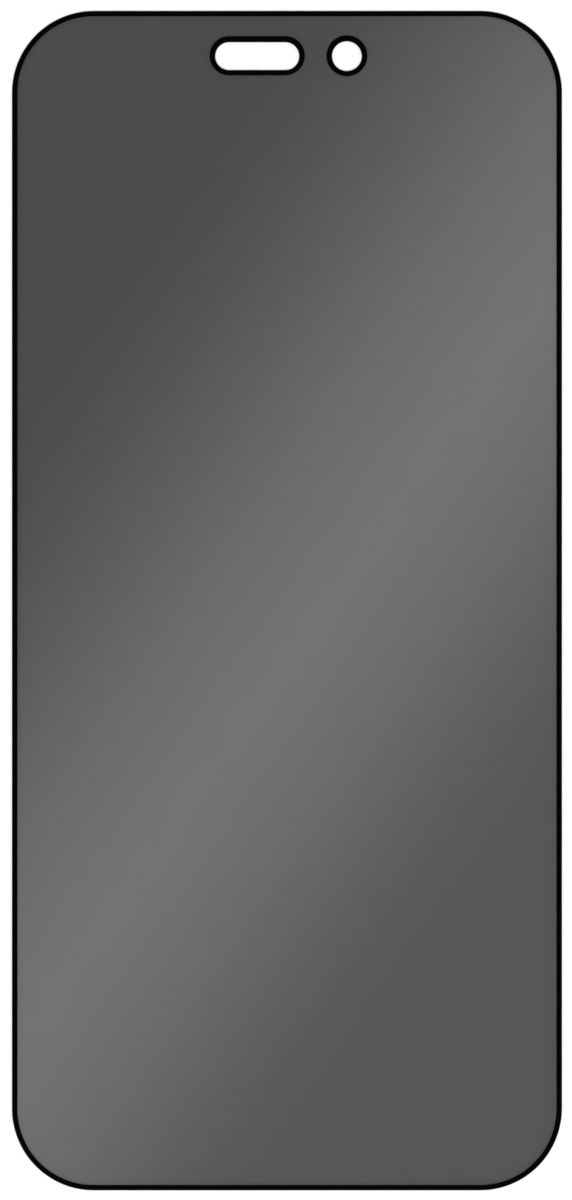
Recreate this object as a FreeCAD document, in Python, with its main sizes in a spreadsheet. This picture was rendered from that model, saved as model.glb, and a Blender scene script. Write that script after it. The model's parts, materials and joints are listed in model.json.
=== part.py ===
import FreeCAD, Part
import math
import os
from collections import namedtuple

import Sketcher
from FreeCAD import Vector

# Phone privacy screen protector, in millimetres.
# The sheet lies flat with its adhesive back on the ground plane and its front facing up (+Z).
# +Y points to the end with the two windows and +X to the right of someone looking at the front.
# The outline and both windows have a ground edge: a shallow arc from the front face down to the
# side wall. Black ink covers that arc and the wall, flush with the front, and ends just above
# the back. Widths and lengths are measured over the ink.

# Driving dimensions: name, millimetres and meaning
SIZES = [
    ("sheet_width", 72.6, "side to side"),
    ("sheet_length", 155.7, "end to end"),
    ("sheet_thickness", 0.45, "glass, film and adhesive bonded together"),
    ("corner_radius", 10.8, "corners of the outline"),
    ("window_row", 5.95, "top edge to the centre line of the windows"),
    ("pill_length", 11.1, "pill window, end to end"),
    ("pill_height", 3.7, "pill window, straight side to straight side"),
    ("pill_offset", 3.93, "pill window's centre, left of the middle"),
    ("camera_diameter", 3.93, "round camera window"),
    ("camera_offset", 7.91, "camera window's centre, right of the middle"),
    ("edge_width", 0.74, "ground edge, seen from the front"),
    ("edge_drop", 0.22, "ground edge, front face down to the side wall"),
    ("ink_thickness", 0.04, "ink on the ground edge and on the side wall"),
    ("ink_lift", 0.05, "back of the sheet up to the lower end of the ink"),
    ("wheel_clearance", 0.3, "grinding profile past the edge and above the front"),
]

# Expressions over the sheet's cells that several sketches share
INK = "sizes.ink_thickness"
BARE = "0"
WHEEL_REACH = f"{INK} + sizes.wheel_clearance"
EDGE_RADIUS = "(sizes.edge_width ^ 2 + sizes.edge_drop ^ 2) / (2 * sizes.edge_drop)"
ROW_Y = "sizes.sheet_length / 2 - sizes.window_row"

START, END, CENTRE = 1, 2, 3  # the points of a line or an arc in a constraint
ORIGIN = (-1, START)  # the sketch's origin in a constraint


def fill_sheet(doc):
    """Spreadsheet that holds the driving dimensions, one aliased cell a row."""
    sheet = doc.addObject("Spreadsheet::Sheet", "sizes")
    for row, (alias, value, meaning) in enumerate(SIZES, start=1):
        sheet.set(f"A{row}", alias)
        sheet.set(f"B{row}", str(value))
        sheet.set(f"C{row}", meaning)
        sheet.setAlias(f"B{row}", alias)
    doc.recompute()


def new_sketch(body, name, role):
    """Sketch on the origin plane of its own body that has the given role."""
    sketch = body.newObject("Sketcher::SketchObject", name)
    plane = next(f for f in body.Origin.OriginFeatures if f.Role == role)
    sketch.AttachmentSupport = [(plane, "")]
    sketch.MapMode = "FlatFace"
    return sketch


def worth(sketch, expression):
    """Present value of an expression over the sheet's cells."""
    return float(sketch.evalExpression(expression))


def size(sketch, name, expression, kind, *where):
    """Adds a dimension that follows an expression over the sheet's cells."""
    index = sketch.addConstraint(Sketcher.Constraint(kind, *where, worth(sketch, expression)))
    sketch.renameConstraint(index, name)
    sketch.setExpression(f"Constraints.{name}", expression)


def constrain(sketch, kind, *where):
    """Adds a geometric constraint."""
    sketch.addConstraint(Sketcher.Constraint(kind, *where))


def arc(centre, radius, first, last):
    """Circular arc from one angle to another, in degrees, anticlockwise."""
    circle = Part.Circle(Vector(*centre), Vector(0, 0, 1), radius)
    return Part.ArcOfCircle(circle, math.radians(first), math.radians(last))


def line(start, end):
    """Straight segment between two points of the sketch plane."""
    return Part.LineSegment(Vector(*start), Vector(*end))


def join(sketch, loop):
    """Joins each geometry of a closed loop to the next. An item is (index, first point, last point)."""
    for (index, _, last), (follower, first, _) in zip(loop, loop[1:] + loop[:1]):
        constrain(sketch, "Coincident", index, last, follower, first)


def draw_outline(sketch, inset):
    """Rounded rectangle about the origin that lies inset from the sheet's outline."""
    width = f"sizes.sheet_width - 2 * {inset}"
    length = f"sizes.sheet_length - 2 * {inset}"
    radius = f"sizes.corner_radius - {inset}"
    x = worth(sketch, width) / 2
    y = worth(sketch, length) / 2
    r = worth(sketch, radius)
    sketch.addGeometry([
        line((r - x, -y), (x - r, -y)), arc((x - r, r - y), r, 270, 360),
        line((x, r - y), (x, y - r)), arc((x - r, y - r), r, 0, 90),
        line((x - r, y), (r - x, y)), arc((r - x, y - r), r, 90, 180),
        line((-x, y - r), (-x, r - y)), arc((r - x, r - y), r, 180, 270),
    ])
    bottom, corner_1, right, corner_2, top, corner_3, left, corner_4 = range(8)
    sides = [bottom, right, top, left]
    corners = [corner_1, corner_2, corner_3, corner_4]
    for side, corner, next_side in zip(sides, corners, sides[1:] + sides[:1]):
        constrain(sketch, "Tangent", side, END, corner, START)
        constrain(sketch, "Tangent", corner, END, next_side, START)
    constrain(sketch, "Horizontal", bottom)
    constrain(sketch, "Horizontal", top)
    constrain(sketch, "Vertical", right)
    constrain(sketch, "Vertical", left)
    for corner in corners[1:]:
        constrain(sketch, "Equal", corner_1, corner)
    constrain(sketch, "Symmetric", corner_2, CENTRE, corner_4, CENTRE, *ORIGIN)
    size(sketch, "radius", radius, "Radius", corner_1)
    size(sketch, "width", width, "DistanceX", left, START, right, START)
    size(sketch, "length", length, "DistanceY", bottom, START, top, START)


def draw_pill(sketch, outset):
    """Slot with half-round ends that lies outset round the pill window."""
    radius = f"sizes.pill_height / 2 + {outset}"
    straight = "sizes.pill_length - sizes.pill_height"
    left_centre = f"-sizes.pill_offset - ({straight}) / 2"
    r = worth(sketch, radius)
    x_1 = worth(sketch, left_centre)
    x_2 = x_1 + worth(sketch, straight)
    y = worth(sketch, ROW_Y)
    sketch.addGeometry([
        line((x_1, y - r), (x_2, y - r)), arc((x_2, y), r, 270, 450),
        line((x_2, y + r), (x_1, y + r)), arc((x_1, y), r, 90, 270),
    ])
    lower, right_end, upper, left_end = range(4)
    for side, end, next_side in [(lower, right_end, upper), (upper, left_end, lower)]:
        constrain(sketch, "Tangent", side, END, end, START)
        constrain(sketch, "Tangent", end, END, next_side, START)
    constrain(sketch, "Horizontal", lower)
    constrain(sketch, "Equal", left_end, right_end)
    size(sketch, "radius", radius, "Radius", left_end)
    size(sketch, "straight", straight, "DistanceX", left_end, CENTRE, right_end, CENTRE)
    size(sketch, "centre_x", left_centre, "DistanceX", *ORIGIN, left_end, CENTRE)
    size(sketch, "centre_y", ROW_Y, "DistanceY", *ORIGIN, left_end, CENTRE)


def draw_camera(sketch, outset):
    """Circle that lies outset round the camera window."""
    radius = f"sizes.camera_diameter / 2 + {outset}"
    centre = Vector(worth(sketch, "sizes.camera_offset"), worth(sketch, ROW_Y), 0)
    ring = sketch.addGeometry(Part.Circle(centre, Vector(0, 0, 1), worth(sketch, radius)))
    size(sketch, "radius", radius, "Radius", ring)
    size(sketch, "centre_x", "sizes.camera_offset", "DistanceX", *ORIGIN, ring, CENTRE)
    size(sketch, "centre_y", ROW_Y, "DistanceY", *ORIGIN, ring, CENTRE)


# The three edges. A section is drawn where the path crosses the row at row_y, at a wall that
# stands at wall_x and faces +X.
Edge = namedtuple("Edge", "name draw_path wall_x row_y")
OUTLINE = Edge("outline", draw_outline, "sizes.sheet_width / 2", "0")
WINDOWS = [
    Edge("pill", draw_pill, "-sizes.pill_offset - sizes.pill_length / 2", ROW_Y),
    Edge("camera", draw_camera, "sizes.camera_offset - sizes.camera_diameter / 2", ROW_Y),
]
EDGES = [OUTLINE, *WINDOWS]


def edge_arcs(sketch, wall_x):
    """Arcs of the finished edge and, one ink thickness under it, of the ground sheet.

    Both run anticlockwise from the wall up to the line where the edge leaves the front face, and
    their common centre lies straight below that line, so the edge leaves the front smoothly.
    """
    width = worth(sketch, "sizes.edge_width")
    radius = worth(sketch, EDGE_RADIUS)
    centre = Vector(worth(sketch, wall_x) - width, worth(sketch, "sizes.sheet_thickness") - radius)
    arcs = []
    for depth in (0, worth(sketch, INK)):
        slope = math.degrees(math.asin((width - depth) / (radius - depth)))
        arcs.append(arc(centre, radius - depth, 90 - slope, 90))
    return arcs


def draw_wheel(sketch, wall_x):
    """Section of what grinding takes off the sheet: all that lies outside the ground arc.

    Straight sides close the section in the air, clear of the sheet. The first of them is the
    step in the front face that the ink ends against.
    """
    _, ground = edge_arcs(sketch, wall_x)
    foot, step_foot = ground.StartPoint, ground.EndPoint
    clear = worth(sketch, WHEEL_REACH)
    roof_corner = Vector(foot.x + clear, step_foot.y + clear)
    corners = [
        step_foot, Vector(step_foot.x, roof_corner.y), roof_corner, Vector(roof_corner.x, foot.y), foot
    ]
    sketch.addGeometry([ground] + [line(*ends) for ends in zip(corners, corners[1:])])
    curve, step, roof, outer, floor = range(5)
    join(sketch, [(index, START, END) for index in (curve, step, roof, outer, floor)])
    constrain(sketch, "Vertical", step)
    constrain(sketch, "Horizontal", roof)
    constrain(sketch, "Vertical", outer)
    constrain(sketch, "Horizontal", floor)
    constrain(sketch, "Vertical", curve, END, curve, CENTRE)
    size(sketch, "radius", f"{EDGE_RADIUS} - {INK}", "Radius", curve)
    size(sketch, "wall", f"{wall_x} - {INK}", "DistanceX", *ORIGIN, curve, START)
    size(sketch, "reach", f"sizes.edge_width - {INK}", "DistanceX", curve, END, curve, START)
    size(sketch, "step_foot", f"sizes.sheet_thickness - {INK}", "DistanceY", *ORIGIN, curve, END)
    size(sketch, "above", WHEEL_REACH, "DistanceY", step, START, step, END)
    size(sketch, "past", WHEEL_REACH, "DistanceX", floor, END, floor, START)


def draw_ink(sketch, wall_x):
    """Section of the ink: the band between the two arcs, carried down the wall to its lower end."""
    finished, ground = edge_arcs(sketch, wall_x)
    lift = worth(sketch, "sizes.ink_lift")
    outer_end = Vector(finished.StartPoint.x, lift)
    inner_end = Vector(ground.StartPoint.x, lift)
    sketch.addGeometry([
        finished, line(finished.EndPoint, ground.EndPoint),
        ground, line(ground.StartPoint, inner_end),
        line(inner_end, outer_end), line(outer_end, finished.StartPoint),
    ])
    outer, step, inner, inner_wall, end, outer_wall = range(6)
    join(sketch, [
        (outer, START, END), (step, START, END), (inner, END, START),
        (inner_wall, START, END), (end, START, END), (outer_wall, START, END),
    ])
    constrain(sketch, "Vertical", step)
    constrain(sketch, "Vertical", inner_wall)
    constrain(sketch, "Horizontal", end)
    constrain(sketch, "Vertical", outer_wall)
    constrain(sketch, "Coincident", outer, CENTRE, inner, CENTRE)
    constrain(sketch, "Vertical", outer, END, outer, CENTRE)
    size(sketch, "wall", wall_x, "DistanceX", *ORIGIN, outer, START)
    size(sketch, "front", "sizes.sheet_thickness", "DistanceY", *ORIGIN, outer, END)
    size(sketch, "width", "sizes.edge_width", "DistanceX", outer, END, outer, START)
    size(sketch, "drop", "sizes.edge_drop", "DistanceY", outer, START, outer, END)
    size(sketch, "step", INK, "DistanceY", step, END, step, START)
    size(sketch, "coat", INK, "DistanceX", end, START, end, END)
    size(sketch, "lift", "sizes.ink_lift", "DistanceY", *ORIGIN, end, START)


def new_path(body, edge, offset):
    """Closed path of an edge on the ground plane, set back into the sheet by the offset."""
    path = new_sketch(body, f"{edge.name}_path", "XY_Plane")
    edge.draw_path(path, offset)
    return path


def sweep(body, kind, edge, path, draw_section):
    """Carries a section of the edge along its closed path."""
    section = new_sketch(body, f"{edge.name}_section", "XZ_Plane")
    section.setExpression("AttachmentOffset.Base.z", f"-({edge.row_y})")  # this plane faces -Y
    draw_section(section, edge.wall_x)
    pipe = body.newObject(kind, f"{edge.name}_edge")
    pipe.Profile = section
    pipe.Spine = (path, [f"Edge{i + 1}" for i in range(path.GeometryCount)])


def make_sheet(doc):
    """The smoked sheet: a blank of the outline, cut by its windows and then ground at each edge."""
    body = doc.addObject("PartDesign::Body", "privacy_sheet")
    paths = {edge.name: new_path(body, edge, INK) for edge in EDGES}
    blank = body.newObject("PartDesign::Pad", "blank")
    blank.Profile = paths[OUTLINE.name]
    blank.setExpression("Length", "sizes.sheet_thickness")
    for edge in WINDOWS:
        window = body.newObject("PartDesign::Pocket", f"{edge.name}_window")
        window.Profile = paths[edge.name]
        window.Type = "ThroughAll"
        window.Reversed = True  # the path lies under the sheet, so the cut goes up
    for edge in EDGES:
        sweep(body, "PartDesign::SubtractivePipe", edge, paths[edge.name], draw_wheel)
    return body


def make_ink(doc):
    """The black edge: one ring of ink along the outline and one round each window."""
    body = doc.addObject("PartDesign::Body", "edge_ink")
    for edge in EDGES:
        sweep(body, "PartDesign::AdditivePipe", edge, new_path(body, edge, BARE), draw_ink)
    return body


def check(doc, bodies):
    """Stops if anything failed to build or a cut took nothing off."""
    for thing in doc.Objects:
        if {"Invalid", "Error"} & set(thing.State):
            raise RuntimeError(f"{thing.Label} did not build: {thing.State}")
    for body in bodies:
        if body.Shape.isNull() or not body.Shape.isValid():
            raise RuntimeError(f"{body.Label} has no valid shape")
        for feature in body.Group:
            if feature.TypeId in ("PartDesign::Pocket", "PartDesign::SubtractivePipe"):
                if feature.Shape.Volume >= feature.BaseFeature.Shape.Volume:
                    raise RuntimeError(f"{feature.Label} cut nothing")


def main():
    """Builds the document, checks it and writes one STEP file a body."""
    doc = FreeCAD.newDocument("privacy_screen_protector")
    fill_sheet(doc)
    bodies = [make_sheet(doc), make_ink(doc)]
    doc.recompute()
    check(doc, bodies)
    os.makedirs("parts", exist_ok=True)
    for body in bodies:
        body.Shape.exportStep(f"parts/{body.Label}.step")
        print(f"{body.Label}: {len(body.Shape.Solids)} solids, {body.Shape.Volume:.3f} mm3")


main()
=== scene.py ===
import json
import math

import bpy
import numpy as np
from bpy.props import FloatProperty, FloatVectorProperty, PointerProperty
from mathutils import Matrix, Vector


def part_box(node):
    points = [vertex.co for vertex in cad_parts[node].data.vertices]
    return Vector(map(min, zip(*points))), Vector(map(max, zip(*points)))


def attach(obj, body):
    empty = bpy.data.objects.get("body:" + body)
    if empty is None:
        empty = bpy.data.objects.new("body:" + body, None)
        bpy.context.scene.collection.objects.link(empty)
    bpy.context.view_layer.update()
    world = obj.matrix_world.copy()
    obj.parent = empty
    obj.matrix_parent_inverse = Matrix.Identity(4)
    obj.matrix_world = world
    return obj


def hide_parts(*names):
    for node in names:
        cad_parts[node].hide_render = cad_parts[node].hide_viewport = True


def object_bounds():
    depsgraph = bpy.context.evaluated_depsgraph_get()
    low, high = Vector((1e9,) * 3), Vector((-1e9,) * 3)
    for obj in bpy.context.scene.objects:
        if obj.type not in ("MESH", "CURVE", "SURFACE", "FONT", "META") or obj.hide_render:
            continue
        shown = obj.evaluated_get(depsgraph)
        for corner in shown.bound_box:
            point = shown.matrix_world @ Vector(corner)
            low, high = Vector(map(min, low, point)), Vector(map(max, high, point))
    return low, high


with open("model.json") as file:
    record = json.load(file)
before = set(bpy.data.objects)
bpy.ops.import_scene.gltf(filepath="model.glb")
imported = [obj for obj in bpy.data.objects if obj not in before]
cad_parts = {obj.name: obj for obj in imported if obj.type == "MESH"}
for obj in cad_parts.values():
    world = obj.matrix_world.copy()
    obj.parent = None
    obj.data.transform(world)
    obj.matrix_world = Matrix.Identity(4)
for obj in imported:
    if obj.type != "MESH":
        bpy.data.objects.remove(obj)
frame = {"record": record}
CAD_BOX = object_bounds()

bl_info = {
    "name": "Phone privacy screen protector",
    "version": (1, 0, 0),
    "blender": (4, 5, 0),
    "location": "3D View > Sidebar > Protector",
    "description": "Makes the smoked sheet and the inked edge of a screen protector and lights them",
    "category": "Add Mesh",
}

MM = 0.001  # in metres

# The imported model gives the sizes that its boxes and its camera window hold, in metres.
SHEET_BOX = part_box("privacy_sheet")
INK_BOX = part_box("edge_ink")
CAMERA_WINDOW = next(mount for mount in frame["record"]["mounts"] if mount["name"] == "camera_window")
CAMERA_X, CAMERA_Y, _ = CAMERA_WINDOW["pos_m"]
CAMERA_RADIUS = CAMERA_WINDOW["dims"]["r_mm"] * MM

CORNER_STEPS = 48  # segments in a quarter turn of the outline or of a window
ARC_STEPS = 12  # segments across the ground edge
SAME_POINT = 1e-9  # points nearer than this, in metres, are one
SHARP = math.radians(25)  # faces that meet at more than this are shaded apart


def metres(name, description, default):
    """A length that the sidebar shows in the scene's unit."""
    return FloatProperty(
        name=name, description=description, default=default, min=0, unit="LENGTH", precision=5
    )


def share(name, description, default):
    """A number from nothing to all."""
    return FloatProperty(
        name=name, description=description, default=default, min=0, max=1, subtype="FACTOR", precision=4
    )


def level(name, description, default):
    """A brightness, from nothing up."""
    return FloatProperty(name=name, description=description, default=default, min=0)


def colour(name, description, default):
    """A colour without alpha."""
    return FloatVectorProperty(
        name=name, description=description, default=default, min=0, max=1, size=3, subtype="COLOR"
    )


class ProtectorSizes(bpy.types.PropertyGroup):
    """Sizes of the sheet, its windows and its ground edge, measured over the ink."""

    width: metres("Width", "Sheet, side to side", CAD_BOX[1].x - CAD_BOX[0].x)
    length: metres("Length", "Sheet, end to end", CAD_BOX[1].y - CAD_BOX[0].y)
    thickness: metres("Thickness", "Back to front face", CAD_BOX[1].z - CAD_BOX[0].z)
    corner_radius: metres("Corner radius", "Corners of the outline", 10.8 * MM)
    row_y: metres("Window row", "Sheet's middle to the windows' centre line", CAMERA_Y)
    pill_length: metres("Pill length", "Pill window, end to end", 11.1 * MM)
    pill_height: metres("Pill height", "Pill window, straight side to straight side", 3.7 * MM)
    pill_offset: metres("Pill offset", "Pill's centre, left of the middle", 3.93 * MM)
    camera_radius: metres("Camera radius", "Round camera window", CAMERA_RADIUS)
    camera_offset: metres("Camera offset", "Camera's centre, right of the middle", CAMERA_X)
    edge_width: metres("Edge width", "Ground edge, seen from the front", 0.74 * MM)
    edge_drop: metres("Edge drop", "Ground edge, front face down to the wall", 0.22 * MM)
    ink_thickness: metres("Ink thickness", "Ink on the edge and the wall", INK_BOX[1].x - SHEET_BOX[1].x)
    ink_lift: metres("Ink lift", "Sheet's back up to the ink's lower end", INK_BOX[0].z)


class ProtectorFinish(bpy.types.PropertyGroup):
    """Colours and gloss of the smoked glass and of the ink."""

    glass_tint: colour("Glass tint", "Grey that the smoked glass scatters back", (0.0327, 0.0327, 0.0327))
    glass_cover: share("Glass cover", "Share of the light that one face of the sheet holds back", 0.6)
    glass_roughness: share("Glass roughness", "Roughness of the polished faces", 0.05)
    glass_gloss: share("Glass gloss", "Specular level of the coated glass", 0.84)
    ink_tint: colour("Ink tint", "Black of the ink", (0.0009, 0.0009, 0.0009))
    ink_roughness: share("Ink roughness", "Roughness of the dried ink", 0.62)
    ink_gloss: share("Ink gloss", "Specular level of the dried ink", 0.012)


class ProtectorStage(bpy.types.PropertyGroup):
    """Camera, floor and studio light."""

    lens: FloatProperty(
        name="Lens", description="Focal length", default=100, min=1, subtype="DISTANCE_CAMERA"
    )
    pixel: metres("Pixel", "Width of the object that one pixel of the picture shows", 0.13202 * MM)
    middle_x: FloatProperty(
        name="Middle x", description="Picture's centre, right of the sheet's, in pixels", default=-0.95
    )
    middle_y: FloatProperty(
        name="Middle y", description="Picture's centre, above the sheet's, in pixels", default=0.65
    )
    floor_colour: colour("Floor colour", "Pale studio floor", (0.9, 0.9, 0.9))
    key: level("Key", "Soft key light on the floor", 1.2)
    dim_side: level("Dim side", "Room light on the left", 0.32)
    bright_side: level("Bright side", "Room light on the right", 0.808)
    strip: level("Strip", "Middle of the overhead strip light", 2.456)
    backdrop: level("Backdrop", "White that the camera sees behind the floor", 1.2)


class Shade:
    """A socket of a node tree that works in arithmetic: each operation adds a Math node."""

    def __init__(self, tree, socket=None):
        self.tree = tree
        self.socket = socket

    def add(self, kind, settings=None, inputs=None, output=0):
        """Adds a node, makes its settings, fills its inputs with values or links, and gives an output."""
        node = self.tree.nodes.new(kind)
        for name, value in (settings or {}).items():
            setattr(node, name, value)
        for name, value in (inputs or {}).items():
            if isinstance(value, Shade):
                self.tree.links.new(value.socket, node.inputs[name])
            else:
                node.inputs[name].default_value = value
        return Shade(self.tree, node.outputs[output] if len(node.outputs) else None)

    def math(self, operation, *terms):
        """Adds a Math node whose terms are values or links."""
        return self.add("ShaderNodeMath", {"operation": operation}, dict(enumerate(terms)))

    def __add__(self, other):
        return self.math("ADD", self, other)

    def __radd__(self, other):
        return self.math("ADD", other, self)

    def __sub__(self, other):
        return self.math("SUBTRACT", self, other)

    def __rsub__(self, other):
        return self.math("SUBTRACT", other, self)

    def __mul__(self, other):
        return self.math("MULTIPLY", self, other)

    def __rmul__(self, other):
        return self.math("MULTIPLY", other, self)

    def __truediv__(self, other):
        return self.math("DIVIDE", self, other)

    def __rtruediv__(self, other):
        return self.math("DIVIDE", other, self)

    def ramp(self, start, end):
        """Smooth step from 0 at the start to 1 at the end."""
        settings = {"interpolation_type": "SMOOTHSTEP"}
        return self.add("ShaderNodeMapRange", settings, {"Value": self, "From Min": start, "From Max": end})

    def tinted(self, tint):
        """This value times a colour."""
        return self.add("ShaderNodeVectorMath", {"operation": "SCALE"}, {0: tint, "Scale": self})


def new_tree(owner):
    """Empty node tree of a material or a world."""
    owner.use_nodes = True
    owner.node_tree.nodes.clear()
    return Shade(owner.node_tree)


def noise(tree, repeats, detail):
    """Smooth noise about 0, from about -1 to 1, with so many repeats to the metre along x, y and z."""
    place = tree.add("ShaderNodeTexCoord", output="Object")
    scaled = tree.add("ShaderNodeMapping", inputs={"Vector": place, "Scale": repeats})
    value = tree.add(
        "ShaderNodeTexNoise", {"noise_dimensions": "3D"}, {"Vector": scaled, "Scale": 1.0, "Detail": detail}
    )
    return (value - 0.5) * 2


# Repeats to the metre of the noise in the finishes, and the share by which it varies a tint or a roughness.
GLASS_CLOUD, CLOUD_IN_TINT = (45, 30, 30), 0.03
LOUVRE_GRAIN, GRAIN_IN_GLOSS = (5200, 60, 60), 0.12
INK_GRAIN, GRAIN_IN_INK_TINT, GRAIN_IN_INK_GLOSS = (9000, 9000, 9000), 0.2, 0.08
INK_RELIEF, INK_RELIEF_STRENGTH = 0.004 * MM, 0.2  # height of the ink's grain, and how much of it shows


def smoked_glass(finish):
    """Polished smoked glass over louvre film: a faintly clouded grey with the film's fine upright grain."""
    material = bpy.data.materials.new("smoked_glass")
    tree = new_tree(material)
    cloud = noise(tree, GLASS_CLOUD, detail=1)
    grain = noise(tree, LOUVRE_GRAIN, detail=2)
    surface = tree.add("ShaderNodeBsdfPrincipled", inputs={
        "Base Color": (1 + CLOUD_IN_TINT * cloud).tinted(finish.glass_tint),
        "Roughness": finish.glass_roughness * (1 + GRAIN_IN_GLOSS * grain),
        "Specular IOR Level": finish.glass_gloss,
        "Alpha": finish.glass_cover,
    })
    tree.add("ShaderNodeOutputMaterial", inputs={"Surface": surface})
    return material


def black_ink(finish):
    """Dried black ink with a fine printed grain."""
    material = bpy.data.materials.new("black_ink")
    tree = new_tree(material)
    grain = noise(tree, INK_GRAIN, detail=2)
    relief = tree.add("ShaderNodeBump", inputs={
        "Strength": INK_RELIEF_STRENGTH,
        "Distance": INK_RELIEF,
        "Height": grain,
    })
    surface = tree.add("ShaderNodeBsdfPrincipled", inputs={
        "Base Color": (1 + GRAIN_IN_INK_TINT * grain).tinted(finish.ink_tint),
        "Roughness": finish.ink_roughness * (1 + GRAIN_IN_INK_GLOSS * grain),
        "Specular IOR Level": finish.ink_gloss,
        "Normal": relief,
    })
    tree.add("ShaderNodeOutputMaterial", inputs={"Surface": surface})
    return material


def closed_path(half_width, half_height, radius, centre=(0, 0), window=False):
    """Points of a closed path with round corners, and at each the direction into the sheet.

    The point whose normal has the angle a lies a radius along that normal from its corner's
    centre: centre + corner + radius * (cos a, sin a). The outline runs anticlockwise from the
    right, and a window clockwise from the left. A pill's corners meet in pairs and a circle's
    all four, so points that repeat are dropped.
    """
    corner = np.repeat(np.arange(4), CORNER_STEPS + 1)
    turn = np.tile(np.linspace(0, 1, CORNER_STEPS + 1), 4)
    angles, middles = math.pi / 2 * (corner + turn), math.pi / 2 * (corner + 0.5)
    if window:
        angles, middles = math.pi - angles, math.pi - middles
    normals = np.stack([np.cos(angles), np.sin(angles)], axis=1)
    quarters = np.sign(np.stack([np.cos(middles), np.sin(middles)], axis=1))
    points = centre + quarters * [half_width - radius, half_height - radius] + radius * normals
    apart = np.linalg.norm(points - np.roll(points, 1, axis=0), axis=1) > SAME_POINT
    return points[apart], (normals if window else -normals)[apart]


def edge_paths(sizes):
    """Closed paths of the outline, the pill window and the camera window."""
    pill_radius = sizes.pill_height / 2
    camera_radius = sizes.camera_radius
    pill_centre = (-sizes.pill_offset, sizes.row_y)
    camera_centre = (sizes.camera_offset, sizes.row_y)
    return [
        closed_path(sizes.width / 2, sizes.length / 2, sizes.corner_radius),
        closed_path(sizes.pill_length / 2, pill_radius, pill_radius, pill_centre, window=True),
        closed_path(camera_radius, camera_radius, camera_radius, camera_centre, window=True),
    ]


def ground_arc(sizes, depth):
    """Inset and height of the points of the ground edge, a depth under its finished surface.

    All depths share a centre straight below the line where the edge leaves the front, so the
    point at the angle a from there has the inset width - r * sin a and the height centre + r * cos a.
    """
    radius = (sizes.edge_width**2 + sizes.edge_drop**2) / (2 * sizes.edge_drop)
    r = radius - depth
    angles = np.linspace(0, math.asin((sizes.edge_width - depth) / r), ARC_STEPS + 1)
    insets = sizes.edge_width - r * np.sin(angles)
    heights = sizes.thickness - radius + r * np.cos(angles)
    return np.stack([insets, heights], axis=1)


def carry(profile, path):
    """Grid of points, with a row for each point of the profile and a column for each point of the path.

    A point lies on the path, moved into the sheet by the profile's inset, at the profile's height.
    """
    points, into = path
    flat = points + profile[:, :1, None] * into
    heights = np.broadcast_to(profile[:, 1, None, None], (*flat.shape[:2], 1))
    return np.concatenate([flat, heights], axis=2)


def carried_edges(sizes, profile):
    """The profile carried along all three edges: one list of points, and each edge's grid of indices."""
    grids = [carry(profile, path) for path in edge_paths(sizes)]
    counts = [grid.shape[0] * grid.shape[1] for grid in grids]
    starts = np.cumsum([0, *counts[:-1]])
    indices = [
        start + np.arange(count).reshape(grid.shape[:2])
        for start, count, grid in zip(starts, counts, grids)
    ]
    return np.concatenate([grid.reshape(-1, 3) for grid in grids]), indices


def grid_faces(indices, closed_profile):
    """Four-sided faces between neighbours of a grid of indices that closes along its path."""
    across = np.roll(indices, -1, axis=0)
    if not closed_profile:
        indices, across = indices[:-1], across[:-1]
    along, both = np.roll(indices, -1, axis=1), np.roll(across, -1, axis=1)
    return np.stack([indices, across, both, along], axis=-1).reshape(-1, 4).tolist()


def plate_faces(outline, pill, camera):
    """The flat plate between an outline and two windows, as two faces that meet along the windows' row.

    The outline is halved where its top corners end, and each window at its right end.
    """
    left = 2 * CORNER_STEPS + 1
    pill_right, camera_right = len(pill) // 2, len(camera) // 2
    upper = [outline[: left + 1], pill[: pill_right + 1], camera[: camera_right + 1]]
    lower = [outline[left:], outline[:1], camera[camera_right:], camera[:1], pill[pill_right:], pill[:1]]
    return [np.concatenate(upper).tolist(), np.concatenate(lower).tolist()]


def add_piece(name, points, faces, material):
    """Makes a mesh object at the origin, and stops if its surface is not closed."""
    mesh = bpy.data.meshes.new(name)
    mesh.from_pydata(points, [], faces)
    uses = np.zeros(len(mesh.loops), int)
    mesh.loops.foreach_get("edge_index", uses)
    if mesh.validate() or (np.bincount(uses) != 2).any():
        raise RuntimeError(f"{name} is not a closed surface")
    mesh.polygons.foreach_set("use_smooth", np.ones(len(mesh.polygons), bool))
    mesh.set_sharp_from_angle(angle=SHARP)
    mesh.materials.append(material)
    piece = bpy.data.objects.new(name, mesh)
    bpy.context.scene.collection.objects.link(piece)
    return piece


class MESH_OT_smoked_sheet_add(bpy.types.Operator):
    """Make the smoked sheet with its two windows and its ground edge"""

    bl_idname = "mesh.smoked_sheet_add"
    bl_label = "Smoked Sheet"

    def execute(self, context):
        sizes = context.scene.protector_sizes
        profile = np.concatenate([
            [(sizes.edge_width, sizes.thickness)],
            ground_arc(sizes, sizes.ink_thickness),
            [(sizes.ink_thickness, 0)],
        ])
        points, edges = carried_edges(sizes, profile)
        faces = [face for edge in edges for face in grid_faces(edge, closed_profile=False)]
        faces += plate_faces(*(edge[0] for edge in edges))
        faces += [face[::-1] for face in plate_faces(*(edge[-1] for edge in edges))]
        sheet = add_piece("smoked_sheet", points, faces, smoked_glass(context.scene.protector_finish))
        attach(sheet, "root")
        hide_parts("privacy_sheet")
        return {"FINISHED"}


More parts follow.
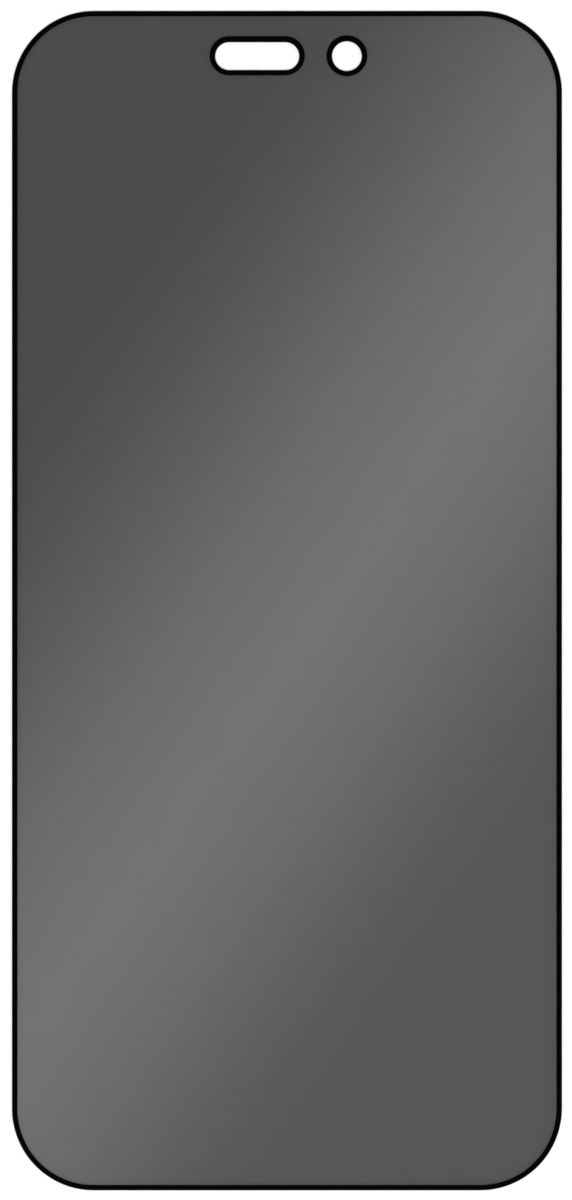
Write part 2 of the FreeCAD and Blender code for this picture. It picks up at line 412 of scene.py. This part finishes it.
class MESH_OT_inked_edge_add(bpy.types.Operator):
    """Make the black ink on the ground edge of the outline and of both windows"""

    bl_idname = "mesh.inked_edge_add"
    bl_label = "Inked Edge"

    def execute(self, context):
        sizes = context.scene.protector_sizes
        profile = np.concatenate([
            ground_arc(sizes, 0),
            [(0, sizes.ink_lift), (sizes.ink_thickness, sizes.ink_lift)],
            ground_arc(sizes, sizes.ink_thickness)[::-1],
        ])
        points, edges = carried_edges(sizes, profile)
        faces = [face for edge in edges for face in grid_faces(edge, closed_profile=True)]
        ink = add_piece("inked_edge", points, faces, black_ink(context.scene.protector_finish))
        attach(ink, "root")
        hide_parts("edge_ink")
        return {"FINISHED"}


PICTURE_HEIGHT = 1200  # pixels, in a picture 572 pixels wide
SENSOR = 36.0  # millimetres, along the picture's height
NEAREST, FARTHEST = 0.01, 100.0  # metres that the camera sees

FLOOR_HALF = 8.0  # metres
FLOOR_GAP = 0.05 * MM  # under the sheet's back

UP = (0.0, 0.0, 1.0)
SHEEN = (0.819, -0.574, 0.0)  # direction across the overhead strip lights
STRIP_RISE = (-43.7 * MM, 7.9 * MM)  # where the sheet mirrors the side on which a strip grows bright
STRIP_FALL = (2.8 * MM, 43.9 * MM)  # where it mirrors the side on which the strip grows dim
STRIP_SPACING = 200 * MM  # from one strip to the next, where the sheet mirrors them
STRIP_FADE = (0.08, 0.3)  # part upwards of the directions in which the strips fade in
LOWEST = 0.02  # least part upwards that a place on the ceiling is worked out for

KEY_TILT = math.radians(24)  # lean of the key light from straight down
KEY_TURN = math.radians(-35)  # turn of that lean about the upright axis
KEY_WIDTH = math.radians(16)  # angle that the key light spans


def add_floor(stage):
    """Plain pale floor just under the sheet."""
    material = bpy.data.materials.new("studio_floor")
    tree = new_tree(material)
    surface = tree.add("ShaderNodeBsdfDiffuse", inputs={"Color": (*stage.floor_colour, 1)})
    tree.add("ShaderNodeOutputMaterial", inputs={"Surface": surface})
    mesh = bpy.data.meshes.new("studio_floor")
    square = FLOOR_HALF * np.array([(-1, -1, 0), (1, -1, 0), (1, 1, 0), (-1, 1, 0)])
    mesh.from_pydata(square - (0, 0, FLOOR_GAP), [], [(0, 1, 2, 3)])
    mesh.materials.append(material)
    floor = bpy.data.objects.new("studio_floor", mesh)
    bpy.context.scene.collection.objects.link(floor)


def add_room(stage, distance):
    """Room light that is brighter on the right, under a row of soft strip lights, with a white backdrop.

    A direction's part across the strips over its part upwards is its place on the ceiling. A sheet
    that is seen from straight above, from the given distance, mirrors it at that share of the distance.
    """
    world = bpy.data.worlds.new("studio")
    tree = new_tree(world)
    direction = tree.add("ShaderNodeTexCoord", output="Generated")
    across, upward = (
        tree.add("ShaderNodeVectorMath", {"operation": "DOT_PRODUCT"}, {0: direction, 1: axis}, "Value")
        for axis in (SHEEN, UP)
    )
    place = across / tree.math("MAXIMUM", upward, LOWEST) * distance
    near = tree.math("WRAP", place, STRIP_SPACING / 2, -STRIP_SPACING / 2)
    strips = (near.ramp(*STRIP_RISE) - near.ramp(*STRIP_FALL)) * upward.ramp(*STRIP_FADE)
    room = stage.dim_side + (stage.bright_side - stage.dim_side) * place.ramp(*STRIP_RISE)
    light = room + (stage.strip - stage.bright_side) * strips
    seen = tree.add("ShaderNodeLightPath", output="Is Camera Ray")
    surface = tree.add("ShaderNodeBackground", inputs={
        "Color": (1, 1, 1, 1),
        "Strength": light + seen * (stage.backdrop - light),
    })
    tree.add("ShaderNodeOutputWorld", inputs={"Surface": surface})
    bpy.context.scene.world = world


def add_key(stage):
    """Soft key light that brightens the floor and leaves no glare on the glass."""
    data = bpy.data.lights.new("key", "SUN")
    data.energy = stage.key
    data.angle = KEY_WIDTH
    key = bpy.data.objects.new("key", data)
    key.rotation_euler = (KEY_TILT, 0, KEY_TURN)
    key.visible_glossy = False
    bpy.context.scene.collection.objects.link(key)


def add_camera(stage, distance, sizes):
    """Camera straight above the sheet, with the windows' end at the top of the picture."""
    data = bpy.data.cameras.new("camera")
    data.lens = stage.lens
    data.sensor_width = SENSOR
    data.clip_start, data.clip_end = NEAREST, FARTHEST
    camera = bpy.data.objects.new("camera", data)
    height = sizes.thickness - sizes.edge_drop + distance
    camera.location = (stage.middle_x * stage.pixel, stage.middle_y * stage.pixel, height)
    bpy.context.scene.collection.objects.link(camera)
    bpy.context.scene.camera = camera


class SCENE_OT_protector_stage_add(bpy.types.Operator):
    """Make the floor, the studio light and the camera"""

    bl_idname = "scene.protector_stage_add"
    bl_label = "Stage"

    def execute(self, context):
        stage = context.scene.protector_stage
        distance = PICTURE_HEIGHT * stage.pixel * stage.lens / SENSOR
        add_floor(stage)
        add_room(stage, distance)
        add_key(stage)
        add_camera(stage, distance, context.scene.protector_sizes)
        context.scene.view_settings.view_transform = "Standard"
        return {"FINISHED"}


GROUPS = {
    "protector_sizes": ProtectorSizes,
    "protector_finish": ProtectorFinish,
    "protector_stage": ProtectorStage,
}
OPERATORS = [MESH_OT_smoked_sheet_add, MESH_OT_inked_edge_add, SCENE_OT_protector_stage_add]


class VIEW3D_PT_protector(bpy.types.Panel):
    """Lists the pieces of the screen protector and their settings"""

    bl_idname = "VIEW3D_PT_protector"
    bl_label = "Privacy Screen Protector"
    bl_space_type = "VIEW_3D"
    bl_region_type = "UI"
    bl_category = "Protector"

    def draw(self, context):
        for operator in OPERATORS:
            self.layout.operator(operator.bl_idname)
        for name, group in GROUPS.items():
            box = self.layout.box()
            for setting in group.__annotations__:
                box.prop(getattr(context.scene, name), setting)


CLASSES = [*GROUPS.values(), *OPERATORS, VIEW3D_PT_protector]


def register():
    """Registers the classes and gives every scene its groups of settings."""
    for kind in CLASSES:
        bpy.utils.register_class(kind)
    for name, group in GROUPS.items():
        setattr(bpy.types.Scene, name, PointerProperty(type=group))


def unregister():
    """Takes back what register did."""
    for name in GROUPS:
        delattr(bpy.types.Scene, name)
    for kind in reversed(CLASSES):
        bpy.utils.unregister_class(kind)


def main():
    """Makes every piece and the stage."""
    register()
    bpy.ops.mesh.smoked_sheet_add()
    bpy.ops.mesh.inked_edge_add()
    bpy.ops.scene.protector_stage_add()


if __name__ == "__main__":
    main()
